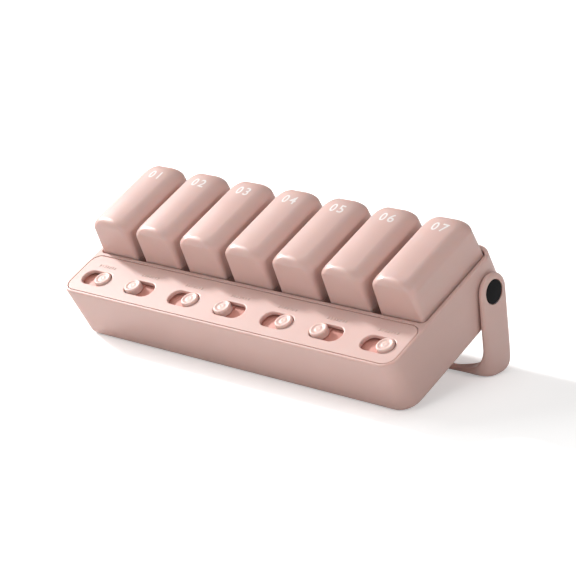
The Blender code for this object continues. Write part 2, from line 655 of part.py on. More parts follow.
def make_stand(pivot):
    """U-shaped stand whose origin is on its pivot axis, with recesses for the caps."""
    height = pivot.z
    upright = Matrix(((1, 0, 0, 0), (0, 0, -1, 0), (0, 1, 0, 0), (0, 0, 0, 1)))
    bar = outline_plate('bar', bar_outline(height), BAR_DEPTH, upright)
    bar_y = height * math.tan(LEG_LEAN) - LEG_WIDTH / 2 + BAR_DEPTH / 2 + FIT_GAP
    bmesh.ops.translate(bar, verts=bar.verts, vec=(0, bar_y, 0))
    mesh = bpy.data.meshes.new('stand_bail')
    bar.to_mesh(mesh)
    bar.free()
    mesh.materials.append(SHELL_PINK)
    stand = add_object('stand_bail', mesh, PARTS)
    stand.location = pivot
    for side in (-1, 1):
        far = side * (LEG_OUTER + OVERRUN)
        floor = side * (LEG_OUTER - CAP_RECESS)
        inner = side * (LEG_INNER - OVERRUN)
        recess = cross_cylinder(min(far, floor), max(far, floor), 0, 0, CAP_RADIUS + FIT_GAP, ROUND_STEPS)
        bore = cross_cylinder(min(far, inner), max(far, inner), 0, 0, BUSH_RADIUS + FIT_GAP, ROUND_STEPS)
        steps = (('leg', make_leg(side, height), 'UNION'), ('cap_recess', recess, 'DIFFERENCE'),
                 ('bush_bore', bore, 'DIFFERENCE'))
        for name, form, operation in steps:
            tool = add_cutter(name, form)
            tool.parent = stand
            combine(stand, tool, operation)


def make_pivots():
    """Bushes in the tray's end walls and the black caps that hold the stand on them."""
    inner = WELL_HALF - WELL_SIDE_DRAFT * (1 - PIVOT_Z / RIM_HEIGHT) + FIT_GAP
    outer = LEG_OUTER - CAP_RECESS
    bush_profile = [(BUSH_BORE, outer), (BUSH_RADIUS, outer), (BUSH_RADIUS, inner), (BUSH_BORE, inner),
                    (BUSH_BORE, outer)]
    cap_low = LEG_OUTER - CAP_THICKNESS
    cap_profile = [(0, LEG_OUTER), (CAP_RADIUS, LEG_OUTER), (CAP_RADIUS, cap_low), (CAP_STEM_RADIUS, cap_low),
                   (CAP_STEM_RADIUS, inner + FIT_GAP), (0, inner + FIT_GAP)]
    for side, name in ((-1, 'left'), (1, 'right')):
        bush = turned(f'pivot_bush_{name}', bush_profile, PARTS, TRAY_FRAME)
        bush.data.materials.append(SHELL_PINK)
        cap = turned(f'pivot_cap_{name}', cap_profile, PARTS, TRAY_FRAME)
        cap.data.materials.append(CAP_BLACK)
        for piece in (bush, cap):
            piece.location = (0, PIVOT_Y, PIVOT_Z)
            piece.rotation_euler = (0, side * math.pi / 2, 0)


def world_points(objects):
    """World places of the objects' evaluated vertices."""
    bpy.context.view_layer.update()
    graph = bpy.context.evaluated_depsgraph_get()
    points = []
    for made in objects:
        evaluated = made.evaluated_get(graph)
        points.extend(evaluated.matrix_world @ vert.co for vert in evaluated.data.vertices)
    return points


for old in list(bpy.data.objects):
    bpy.data.objects.remove(old)

PARTS = new_collection('weekly_pill_organizer')
CUTTERS = new_collection('cutters')
SHELL_PINK = new_material('shell_pink', (0.62, 0.41, 0.37), 0.42)
LID_PINK = new_material('lid_pink', (0.64, 0.43, 0.39), 0.38)
KNOB_PINK = new_material('knob_pink', (0.70, 0.49, 0.45), 0.35)
TRACK_PINK = new_material('track_pink', (0.50, 0.24, 0.20), 0.55)
CAP_BLACK = new_material('cap_black', (0.012, 0.012, 0.013), 0.45)
STEEL = new_material('steel', (0.55, 0.55, 0.56), 0.30, 1.0)

TRAY_FRAME = add_object('tray_frame', None, PARTS)
TRAY_FRAME.rotation_euler.x = TILT
tray_body = make_tray()
TRAY_FRAME.location.z = -min(point.z for point in world_points([tray_body]))
make_panel()
make_track()
make_track_screws()
make_knobs()
make_pods()
make_pivots()
bpy.context.view_layer.update()
make_stand(TRAY_FRAME.matrix_world @ Vector((0, PIVOT_Y, PIVOT_Z)))

parts = [made for made in PARTS.objects if made.type == 'MESH']
depths = [point.y for point in world_points(parts)]
centre_shift = -(min(depths) + max(depths)) / 2
for top_piece in (TRAY_FRAME, PARTS.objects['stand_bail']):
    top_piece.location.y += centre_shift
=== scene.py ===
"""Dressed model of a weekly pill organizer: tray, slider strip, seven lidded pods and folding stand.

Shapes are made in tray coordinates: x along the tray, y up its slope from the front rim and z square
to the rim. One matrix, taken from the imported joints, lays them on the sloping frame.
"""
import json
import math
from collections import namedtuple

import bmesh
import bpy
from bpy.props import FloatProperty, FloatVectorProperty, PointerProperty
from mathutils import Matrix, Vector
from mathutils.bvhtree import BVHTree


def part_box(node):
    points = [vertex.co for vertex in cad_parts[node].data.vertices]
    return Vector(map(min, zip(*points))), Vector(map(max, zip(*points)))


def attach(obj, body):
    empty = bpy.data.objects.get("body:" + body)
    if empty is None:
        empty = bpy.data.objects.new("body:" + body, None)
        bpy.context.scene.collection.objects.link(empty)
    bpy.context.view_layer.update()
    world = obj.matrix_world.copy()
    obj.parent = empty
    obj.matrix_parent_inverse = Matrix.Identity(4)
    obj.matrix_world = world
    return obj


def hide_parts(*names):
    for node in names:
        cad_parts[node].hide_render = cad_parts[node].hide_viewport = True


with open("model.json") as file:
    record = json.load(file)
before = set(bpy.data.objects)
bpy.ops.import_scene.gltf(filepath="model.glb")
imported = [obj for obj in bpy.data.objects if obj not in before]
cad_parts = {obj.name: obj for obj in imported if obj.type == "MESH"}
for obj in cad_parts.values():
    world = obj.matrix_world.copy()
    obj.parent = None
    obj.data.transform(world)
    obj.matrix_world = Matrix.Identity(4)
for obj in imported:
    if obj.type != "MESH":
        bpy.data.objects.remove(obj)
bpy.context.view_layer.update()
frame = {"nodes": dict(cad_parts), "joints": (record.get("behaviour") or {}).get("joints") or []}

bl_info = {
    "name": "Weekly Pill Organizer",
    "version": (1, 0, 0),
    "blender": (4, 5, 0),
    "location": "3D View > Sidebar > Pill Organizer",
    "description": "Builds the dressed model of a sloping weekly pill organizer",
    "category": "Object",
}

JOINTS = {joint["name"]: joint for joint in frame["joints"]}
LIFT = Vector(JOINTS["pod_4_lift"]["axis"])
HINGE = Vector(JOINTS["lid_4_hinge"]["pos_m"])
PIVOT = Vector(JOINTS["stand_fold"]["pos_m"])
PIVOT_LINE = (0, PIVOT.y, PIVOT.z)
SLOPE = Matrix.Rotation(math.atan2(-LIFT.y, LIFT.z), 4, 'X')
POD_COUNT = 7
HINGE_Y = 0.0699
HINGE_Z = 0.0276
TRAY = Matrix.Translation(HINGE - SLOPE @ Vector((0, HINGE_Y, HINGE_Z))) @ SLOPE
LEG_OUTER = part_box("stand_bail")[1].x

SCREW_COUNT = 4
TICK_COUNT = 7
NUMBER_CUTS = 29

# Share of a knob's radius and of its dish's depth, from the middle outwards
KNOB_FACE = ((0, 0.75), (0.12, 0.74), (0.20, 0.58), (0.27, 0.55), (0.34, 0.74), (0.42, 0.96), (0.53, 1.0),
             (0.60, 0.86), (0.67, 0.42), (0.73, 0.12), (0.78, 0.01))

# Widths in the lids' hinges, in wall thicknesses
LUG_HALF = 1.5
NOTCH_HALF = 1.75
KNUCKLE_LENGTH = 2

# Degrees over the pivot at which the round head of a leg is cut
HEAD_TURNS = (87, 82, 76, 69, 61, 53, 45, 37, 29, 20, 10)
LEG_STEPS = 5
FOOT_STEPS = 24
BAR_STEPS = 10

# Share of the toe's round at the leg's end, and how far the heel sweeps forward in the bend
LEG_TOE = 0.45
HEEL_SWEEP = 0.35

Ring = namedtuple("Ring", "half front rear corner height rear_corner toe toe_reach",
                  defaults=(0.0, 0.0, 0.0))
Section = namedtuple("Section", "inner outer front rear corner toe", defaults=(0.0,))


def length(name, description, millimetres):
    """Length property, its default given in millimetres."""
    return FloatProperty(name=name, description=description, default=millimetres / 1000, min=0.0,
                         precision=5, subtype='DISTANCE', unit='LENGTH')


def colour(name, description, default):
    """Linear colour property."""
    return FloatVectorProperty(name=name, description=description, default=default, min=0.0, max=1.0,
                               size=3, subtype='COLOR')


def power(name, description, default):
    """Lamp power in watts."""
    return FloatProperty(name=name, description=description, default=default, min=0.0, unit='POWER')


class PillTraySizes(bpy.types.PropertyGroup):
    """Sizes of the tray and its slider strip."""
    rim_half: length("Half length", "Half of the rim's length", 91.56)
    rim_depth: length("Depth", "Front rim to rear rim", 71.7)
    rim_height: length("Height", "Height square to the rim", 25.6)
    side_draft: length("Side draft", "Narrowing of each end", 0.7)
    rear_draft: length("Rear draft", "Narrowing of the rear", 0.6)
    front_draft: length("Front draft", "Narrowing of the front", 1.1)
    plan_corner: length("Corner radius", "Front corners at the rim", 6.2)
    foot_corner: length("Foot corner", "Front corners at the foot", 8.5)
    rear_corner: length("Rear corner", "Rear corners at the rim", 8.5)
    rear_foot_corner: length("Rear foot corner", "Rear corners at the foot", 5.2)
    foot_round: length("Foot round", "Round of the bottom edge", 3)
    rim_round: length("Rim round", "Round of the outer top edge", 0.8)
    front_rim_round: length("Front rim round", "Round of the front top edge", 1.05)
    well_half: length("Well half length", "Half of the well's length", 89.56)
    well_front: length("Well front", "Where the well starts", 25.3)
    well_rear: length("Well rear", "Where the well ends", 68.7)
    well_corner: length("Well corner", "The well's front corners", 2.2)
    well_rear_corner: length("Well rear corner", "The well's rear corners", 3.5)
    well_lip: length("Well lip", "Round of the well's mouth", 0.35)
    floor: length("Floor", "Floor's thickness", 2)
    bay_front: length("Strip front", "Where the recess starts", 1.2)
    bay_rear: length("Strip rear", "Where the recess ends", 23.7)
    bay_rim: length("Strip rim", "Rim left at the strip's ends", 1)
    bay_depth: length("Strip recess", "Depth of the recess", 4.5)
    groove: length("Groove", "Groove round the strip", 0.34)
    groove_depth: length("Groove depth", "Depth of the groove", 0.6)
    panel_thickness: length("Strip thickness", "Strip's thickness", 1.5)
    slot_length: length("Slot length", "Length of a slot", 15.6)
    slot_width: length("Slot width", "Width of a slot", 8.16)
    slot_y: length("Slot place", "Middle of the slots", 10.4)
    slot_lip: length("Slot lip", "Round of a slot's edge", 0.5)
    slot_floor: length("Slot floor", "Height of a slot's floor", 23.3)
    tick_rise: length("Tick rise", "Rise of a tick", 0.18)
    tick_length: length("Tick length", "Length of a tick", 1.3)
    tick_width: length("Tick width", "Width of a tick", 0.5)
    tick_pitch: length("Tick pitch", "Step from tick to tick", 1.5)
    tick_y: length("Tick place", "Middle of the ticks", 17.7)
    knob_radius: length("Knob radius", "Radius of a knob", 3.7)
    knob_rise: length("Knob rise", "How far a knob stands out", 1)
    knob_dish: length("Knob dish", "Depth of a knob's dish", 0.3)
    knob_foot: length("Knob foot", "Thickness of a knob's plate", 0.4)
    knob_travel: length("Knob travel", "How far a knob slides", 7.6)


class PillPodSizes(bpy.types.PropertyGroup):
    """Sizes of the pods."""
    pitch: length("Pitch", "Step from pod to pod", 26)
    width: length("Width", "Width of a pod", 21.6)
    front: length("Front", "Where the pods start", 25.8)
    rear: length("Rear", "Where the pods end", 68.2)
    top: length("Top", "Crown over the tray's bottom", 43.2)
    seam: length("Seam", "Seam between cup and lid", 24.6)
    wall: length("Wall", "Thickness of the shells", 1.2)
    corner: length("Corner", "Front corners at the seam", 1.4)
    shoulder_corner: length("Shoulder corner", "Front corners under the crown", 3.8)
    rear_corner: length("Rear corner", "Rear corners at the seam", 3)
    rear_shoulder: length("Rear shoulder", "Rear corners under the crown", 5.4)
    side_round: length("Side round", "Round of the long top edges", 5)
    front_round: length("Front round", "Round of the front top edge", 2.8)
    rear_round: length("Rear round", "Round of the rear top edge", 5.1)
    front_lean: length("Front lean", "Lean of the front face", 0.3)
    arch: length("Arch", "Radius of the top's arch", 29)
    arch_reach: length("Arch depth", "Depth where the arch fades out", 6.8)
    foot: length("Foot", "Height of the cups' feet", 2.3)
    foot_inset: length("Foot inset", "Cups' narrowing to the foot", 1.2)
    knuckle: length("Knuckle", "Radius of a knuckle", 1.7)
    number_height: length("Number height", "Height of the numbers", 4.5)
    number_x: length("Number shift", "Step to the right", 1.2)
    number_y: length("Number place", "Middle of the numbers", 59.2)


class PillStandSizes(bpy.types.PropertyGroup):
    """Sizes of the stand."""
    thickness: length("Thickness", "Thickness of the legs", 2.2)
    boss: length("Boss", "Radius of the legs' heads", 7.5)
    leg_half: length("Leg", "Half of a leg's width", 7.5)
    lean: length("Lean", "Feet's step behind the pivot", 1.7)
    edge: length("Edge round", "Round of the long edges", 1.05)
    bend_edge: length("Bend's edge round", "Round of the long edges in the foot", 1.1)
    bend: length("Bend", "Outer round of the foot", 3)
    fillet: length("Fillet", "Inner round of the foot", 10)
    heel: length("Heel", "Round of the foot's rear", 6)
    toe: length("Toe", "Round of the foot's front", 6.4)
    bar_depth: length("Bar depth", "Depth of the bar", 3.2)
    bar_low: length("Bar clearance", "Bar's underside over the ground", 0.9)
    bar_high: length("Bar top", "Bar's top over the ground", 3.1)
    cap: length("Cap radius", "Radius of a cap", 4.8)
    recess: length("Cap recess", "Depth of the caps' recess", 0.9)


class PillFinishes(bpy.types.PropertyGroup):
    """Colours of the mouldings."""
    shell: colour("Shell", "Tray, strip and stand", (0.618, 0.415, 0.372))
    pod: colour("Pods", "Cups and lids", (0.632, 0.425, 0.382))
    knob: colour("Knobs", "Sliding knobs", (0.700, 0.500, 0.450))
    track: colour("Track", "Track under the strip", (0.600, 0.260, 0.210))
    cap: colour("Caps", "Pivot caps", (0.007, 0.007, 0.008))
    print_white: colour("Print", "Printed numbers", (0.800, 0.740, 0.720))
    steel: colour("Steel", "Hinge pins and screws", (0.560, 0.560, 0.570))


class PillStage(bpy.types.PropertyGroup):
    """Floor, lamps and background."""
    floor: colour("Floor", "Colour of the floor", (0.860, 0.855, 0.850))
    key: power("Key lamp", "Small lamp low on the left", 88.0)
    left: power("Left lamp", "Soft lamp on the left", 10.0)
    top: power("Top lamp", "Soft lamp overhead", 4.6)
    front: power("Front lamp", "Soft lamp in front", 5.6)
    right: power("Right lamp", "Soft lamp on the right", 6.0)
    sky: FloatProperty(name="Sky", description="Strength of the room's light", default=0.19, min=0.0)


def row(count, pitch):
    """Places of an even row about the middle."""
    return [(index - (count - 1) / 2) * pitch for index in range(count)]


def between(low, high, share):
    """Value a share of the way from one to another."""
    return low + (high - low) * share


def drawn_in(height, top, radius):
    """How far a rounded top edge has drawn in at a height."""
    rise = min(radius, max(0.0, height - (top - radius)))
    return radius - math.sqrt(radius ** 2 - rise ** 2)


def arc_heights(top, radius, steps):
    """Heights of even steps round a quarter arc that ends at the top."""
    return [top - radius + radius * math.sin(step / steps * math.pi / 2) for step in range(steps + 1)]


def edge_steps(top, radius, steps):
    """Heights of even steps up a rounded top edge, each with how far the edge has drawn in."""
    return [(height, drawn_in(height, top, radius)) for height in arc_heights(top, radius, steps)]


def quarter(steps):
    """Even steps up a quarter arc, each with its rise and its draw-in as shares of the radius."""
    turns = [step / steps * math.pi / 2 for step in range(steps + 1)]
    return [(1 - math.cos(turn), 1 - math.sin(turn)) for turn in turns]


def corner_arc(ring, side, at_rear):
    """Centre of one of an outline's round corners and its two radii, along x and along y."""
    radius = ring.rear_corner if at_rear and ring.rear_corner else ring.corner
    radii = Vector((radius, radius))
    if ring.toe and side > 0 and not at_rear:
        radii = Vector((ring.toe, ring.toe_reach))
    along = ring.rear - radii.y if at_rear else ring.front + radii.y
    return Vector((side * (ring.half - radii.x), along)), radii


def lay(verts, pattern, ring, place):
    """Lays points on a rounded rectangle by their places on the round-cornered square."""
    for vert in verts:
        mark = vert[pattern].xy
        corner = Vector((math.copysign(1, mark.x), math.copysign(1, mark.y)))
        centre, radii = corner_arc(ring, corner.x, corner.y > 0)
        flat = centre + (2 * mark - corner) * radii
        vert.co = place @ Vector((flat.x, flat.y, ring.height))


def first_face(bm, steps, pattern):
    """Square face with round corners, each point marked with its place on it."""
    grid = bmesh.ops.create_grid(bm, x_segments=1, y_segments=1, size=1)["verts"]
    made = bmesh.ops.bevel(bm, geom=grid, offset=0.5, offset_type='OFFSET', segments=steps, profile=0.5,
                           material=-1, affect='VERTICES')
    face = made["verts"][0].link_faces[0]
    for vert in face.verts:
        vert[pattern] = vert.co
    return face


def loft(bm, rings, steps, places=None):
    """Body drawn through rounded rectangles. Gives its first and last face."""
    places = places or [Matrix()] * len(rings)
    pattern = bm.verts.layers.float_vector.new("pattern")
    first = last = first_face(bm, steps, pattern)
    for number, (ring, place) in enumerate(zip(rings, places)):
        if number:
            made = bmesh.ops.extrude_face_region(bm, geom=[last, *last.edges, *last.verts])
            last = next(item for item in made["geom"] if isinstance(item, bmesh.types.BMFace))
        lay(last.verts, pattern, ring, place)
    bm.verts.layers.float_vector.remove(pattern)
    return first, last


def drop_face(bm, face):
    """Takes a face out and gives the edges of the hole that it leaves."""
    edges = list(face.edges)
    bmesh.ops.delete(bm, geom=[face], context='FACES_ONLY')
    return edges


def fill_flat(bm, edges):
    """Flat face with holes between loops of edges."""
    made = bmesh.ops.triangle_fill(bm, use_beauty=True, edges=edges, normal=(0, 0, 1))
    return [item for item in made["geom"] if isinstance(item, bmesh.types.BMFace)]


def add_block(bm, low, high, edge):
    """Closed block between two corners with rounded edges."""
    made = bmesh.ops.create_cube(bm, size=1)["verts"]
    for vert in made:
        vert.co = [high[axis] if vert.co[axis] > 0 else low[axis] for axis in range(3)]
    edges = list({item for vert in made for item in vert.link_edges})
    bmesh.ops.bevel(bm, geom=edges, offset=edge, offset_type='OFFSET', segments=3, profile=0.5, material=-1,
                    affect='EDGES', clamp_overlap=True)


def add_turned(bm, profile, centre, axis, steps):
    """Body turned about an axis from (radius, distance) points; a closed profile leaves a bore."""
    axis = Vector(axis)
    across = axis.orthogonal().normalized()
    verts = [bm.verts.new(Vector(centre) + across * radius + axis * along) for radius, along in profile]
    pairs = list(zip(verts, verts[1:]))
    if profile[0][0] > 0:
        pairs.append((verts[-1], verts[0]))
    edges = [bm.edges.new(pair) for pair in pairs]
    bmesh.ops.spin(bm, geom=verts + edges, cent=centre, axis=axis, angle=2 * math.pi, steps=steps,
                   use_merge=True)


def closed(bm, merge=1e-6):
    """Merges doubles and turns every face outwards."""
    bmesh.ops.remove_doubles(bm, verts=bm.verts, dist=merge)
    bmesh.ops.recalc_face_normals(bm, faces=bm.faces)


def shaded(mesh, angle=32):
    """Smooth shading with creases kept sharp."""
    mesh.shade_smooth()
    mesh.set_sharp_from_angle(angle=math.radians(angle))


def to_mesh(bm, name):
    """Mesh from a bmesh."""
    mesh = bpy.data.meshes.new(name)
    bm.to_mesh(mesh)
    bm.free()
    return mesh


def smooth_mesh(bm, name, place=Matrix()):
    """Mesh from a bmesh, laid in its place, with its shading set."""
    mesh = to_mesh(bm, name)
    shaded(mesh)
    mesh.transform(place)
    return mesh


def flat_topped(bm, name, flat):
    """Closed mesh on the tray's slope, smooth but for the given flat faces."""
    closed(bm)
    numbers = [face.index for face in bm.faces if face in flat]
    mesh = smooth_mesh(bm, name, TRAY)
    for number in numbers:
        mesh.polygons[number].use_smooth = False
    return mesh


def merge(bm, extra):
    """Adds another bmesh's body."""
    part = to_mesh(extra, "part")
    bm.from_mesh(part)
    bpy.data.meshes.remove(part)


def add_object(name, data):
    """Object in the scene."""
    added = bpy.data.objects.new(name, data)
    bpy.context.scene.collection.objects.link(added)
    return added


def finished(data, name, *modifiers):
    """Mesh of a mesh or a curve, with modifiers such as a wall or a cut applied."""
    holder = add_object(name, data)
    for kind, settings in modifiers:
        modifier = holder.modifiers.new(kind.lower(), kind)
        for key, value in settings.items():
            setattr(modifier, key, value)
    bpy.context.view_layer.update()
    graph = bpy.context.evaluated_depsgraph_get()
    result = bpy.data.meshes.new_from_object(holder.evaluated_get(graph))
    bpy.data.objects.remove(holder)
    result.name = name
    return result


def walled(bm, name, wall):
    """Bmesh of a thin shell: a surface thickened inwards."""
    shell = finished(to_mesh(bm, name), name, ('SOLIDIFY', {
        "thickness": wall, "offset": -1, "use_even_offset": True, "use_rim": True}))
    body = bmesh.new()
    body.from_mesh(shell)
    return body


def add_piece(name, mesh, body, slot, replaced=(), look=None):
    """Object at the origin that rides on a body, in its slot's finish unless another look is named."""
    piece = add_object(name, mesh)
    mesh.materials.clear()
    mesh.materials.append(finishes()[look or slot])
    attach(piece, body)
    if replaced:
        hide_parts(*replaced)


def add_copy(name, pattern, place, body, slot, replaced=(), look=None):
    """Piece made of a copy of a mesh laid in its place."""
    mesh = pattern.copy()
    mesh.name = name
    mesh.transform(place)
    add_piece(name, mesh, body, slot, replaced, look)


def keep(name, look):
    """Gives a CAD node that stays in view its finish."""
    frame["nodes"][name].material_slots[0].material = finishes()[look]


def set_inputs(node, values):
    """Sets a node's own sockets."""
    for socket, value in values.items():
        node.inputs[socket].default_value = value


def new_shader(name):
    """Material with its Principled shader, for a finish to set."""
    material = bpy.data.materials.get(name) or bpy.data.materials.new(name)
    material.use_nodes = True
    tree = material.node_tree
    tree.nodes.clear()
    output = tree.nodes.new('ShaderNodeOutputMaterial')
    shader = tree.nodes.new('ShaderNodeBsdfPrincipled')
    tree.links.new(shader.outputs['BSDF'], output.inputs['Surface'])
    return material, tree, shader


def noise(tree, scale, detail, roughness=0.5):
    """Grey value of a noise texture on Object coordinates."""
    place = tree.nodes.new('ShaderNodeTexCoord')
    texture = tree.nodes.new('ShaderNodeTexNoise')
    set_inputs(texture, {'Scale': scale, 'Detail': detail, 'Roughness': roughness})
    tree.links.new(place.outputs['Object'], texture.inputs['Vector'])
    return texture.outputs['Fac']


def spread(tree, source, low, high):
    """Texture's grey value spread between two numbers."""
    reach = tree.nodes.new('ShaderNodeMapRange')
    set_inputs(reach, {'From Min': 0.3, 'From Max': 0.7, 'To Min': low, 'To Max': high})
    tree.links.new(source, reach.inputs['Value'])
    return reach.outputs['Result']


def tinted(tree, shader, source, tint, shade):
    """Base colour that drifts between a tint and a darker shade of it."""
    mix = tree.nodes.new('ShaderNodeMix')
    mix.data_type = 'RGBA'
    set_inputs(mix, {'A': (*[part * shade for part in tint], 1), 'B': (*tint, 1)})
    tree.links.new(spread(tree, source, 0, 1), mix.inputs['Factor'])
    tree.links.new(mix.outputs['Result'], shader.inputs['Base Color'])


def moulded(name, tint, roughness, spark=0.000012, shade=0.965, subsurface=0.30, specular=0.6):
    """Satin moulded plastic: fine spark texture, faint flow clouds and a soft under-surface glow."""
    material, tree, shader = new_shader(name)
    clouds = noise(tree, scale=55, detail=3)
    grain = noise(tree, scale=5200, detail=2)
    drift = 0.03
    tinted(tree, shader, clouds, tint, shade)
    tree.links.new(spread(tree, clouds, roughness - drift, roughness + drift), shader.inputs['Roughness'])
    bump = tree.nodes.new('ShaderNodeBump')
    set_inputs(bump, {'Strength': 0.35, 'Distance': spark})
    tree.links.new(grain, bump.inputs['Height'])
    tree.links.new(bump.outputs['Normal'], shader.inputs['Normal'])
    set_inputs(shader, {'Subsurface Weight': subsurface, 'Subsurface Radius': (1.0, 0.45, 0.30),
                        'Subsurface Scale': 0.0022, 'IOR': 1.47, 'Specular IOR Level': specular})
    return material


def drawn_steel(name, tint):
    """Bright drawn wire with fine scratches."""
    material, tree, shader = new_shader(name)
    grain = noise(tree, scale=2600, detail=4, roughness=0.7)
    set_inputs(shader, {'Base Color': (*tint, 1), 'Metallic': 1.0})
    tree.links.new(spread(tree, grain, 0.22, 0.40), shader.inputs['Roughness'])
    return material


def printed(name, tint):
    """Pad-printed ink: a thin, slightly uneven matt coat."""
    material, tree, shader = new_shader(name)
    film = noise(tree, scale=1800, detail=3)
    tinted(tree, shader, film, tint, shade=0.93)
    tree.links.new(spread(tree, film, 0.50, 0.60), shader.inputs['Roughness'])
    return material


def finishes():
    """Materials by the record's slot names, made once."""
    tints = bpy.context.scene.pill_finishes
    if "shell_pink_satin" not in bpy.data.materials:
        moulded("shell_pink_satin", tints.shell, roughness=0.42)
        moulded("pod_pink_satin", tints.pod, roughness=0.36, subsurface=0.45)
        moulded("knob_pink_gloss", tints.knob, roughness=0.40, spark=0.000006)
        moulded("track_deep_pink", tints.track, roughness=0.55, subsurface=0.0)
        moulded("cap_black_matt", tints.cap, roughness=0.60, spark=0.00003, shade=0.7, subsurface=0.0,
                specular=0.12)
        drawn_steel("steel_wire", tints.steel)
        printed("print_white", tints.print_white)
    names = {"shell_pink": "shell_pink_satin", "lid_pink": "pod_pink_satin", "knob_pink": "knob_pink_gloss",
             "track_pink": "track_deep_pink", "cap_black": "cap_black_matt", "steel": "steel_wire",
             "print": "print_white"}
    return {slot: bpy.data.materials[name] for slot, name in names.items()}


def strip_ring(sizes, height, gap):
    """Outline of the slider strip, or of its recess where the gap is below zero."""
    return Ring(sizes.rim_half - sizes.bay_rim - gap, sizes.bay_front + gap, sizes.bay_rear - gap,
                sizes.plan_corner - sizes.bay_rim - gap, height)


class PILL_OT_tray(bpy.types.Operator):
    """Make the tray with its rounded rim, pod well and strip recess"""
    bl_idname = "pill_organizer.tray"
    bl_label = "Tray"

    def execute(self, context):
        sizes = context.scene.pill_tray
        bm = bmesh.new()
        edges = []
        for form in (self.outside, self.well, self.bay):
            edges += drop_face(bm, form(bm, sizes))
        rim = set(fill_flat(bm, edges))
        self.ribs(bm, sizes, context.scene.pill_pods)
        add_piece("tray_shell", flat_topped(bm, "tray_shell", rim), "tray", "shell_pink", ("tray_body",))
        return {'FINISHED'}

    def outside(self, bm, sizes):
        """Outside from the rounded foot up to the rounded rim."""
        high = sizes.rim_height

        def ring(height, inset, front_inset):
            left = 1 - height / high
            corner = between(sizes.plan_corner, sizes.foot_corner, left) - inset
            rear_corner = between(sizes.rear_corner, sizes.rear_foot_corner, left) - inset
            return Ring(sizes.rim_half - sizes.side_draft * left - inset,
                        sizes.front_draft * left + front_inset,
                        sizes.rim_depth - sizes.rear_draft * left - inset, corner, height, rear_corner)
        rings = []
        for rise, left in quarter(8):
            rings.append(ring(sizes.foot_round * rise, sizes.foot_round * left, sizes.foot_round * left))
        for height, front_inset in edge_steps(high, sizes.front_rim_round, 8):
            rings.append(ring(height, drawn_in(height, high, sizes.rim_round), front_inset))
        return loft(bm, rings, steps=14)[1]

    def well(self, bm, sizes):
        """Well that the pods stand in, with a filleted floor and a softened mouth."""
        high = sizes.rim_height
        fillet = sizes.well_lip * 2

        def ring(height, grow):
            left = 1 - height / high
            return Ring(sizes.well_half - sizes.side_draft * left + grow,
                        sizes.well_front + sizes.rear_draft * left - grow,
                        sizes.well_rear - sizes.rear_draft * left + grow, sizes.well_corner + grow, height,
                        sizes.well_rear_corner + grow)
        rings = [ring(sizes.floor + fillet * rise, -fillet * left) for rise, left in quarter(3)]
        rings += [ring(height, grow) for height, grow in edge_steps(high, sizes.well_lip, 4)]
        return loft(bm, rings, steps=10)[1]

    def bay(self, bm, sizes):
        """Recess for the slider strip and its track."""
        high = sizes.rim_height
        rings = [strip_ring(sizes, high - sizes.bay_depth, 0)]
        rings += [strip_ring(sizes, height, -grow) for height, grow in edge_steps(high, sizes.groove / 2, 3)]
        return loft(bm, rings, steps=14)[1]

    def ribs(self, bm, sizes, pods):
        """Low ribs on the well's floor that keep the pods in place."""
        reach = pods.width / 2 - pods.foot_inset + pods.wall / 2
        places = row(POD_COUNT, pods.pitch)
        for left, right in zip(places, places[1:]):
            low = (left + reach, sizes.well_front + sizes.well_corner, sizes.floor / 2)
            high = (right - reach, sizes.well_rear - sizes.well_corner, sizes.floor + sizes.foot_round)
            add_block(bm, low, high, pods.wall / 3)


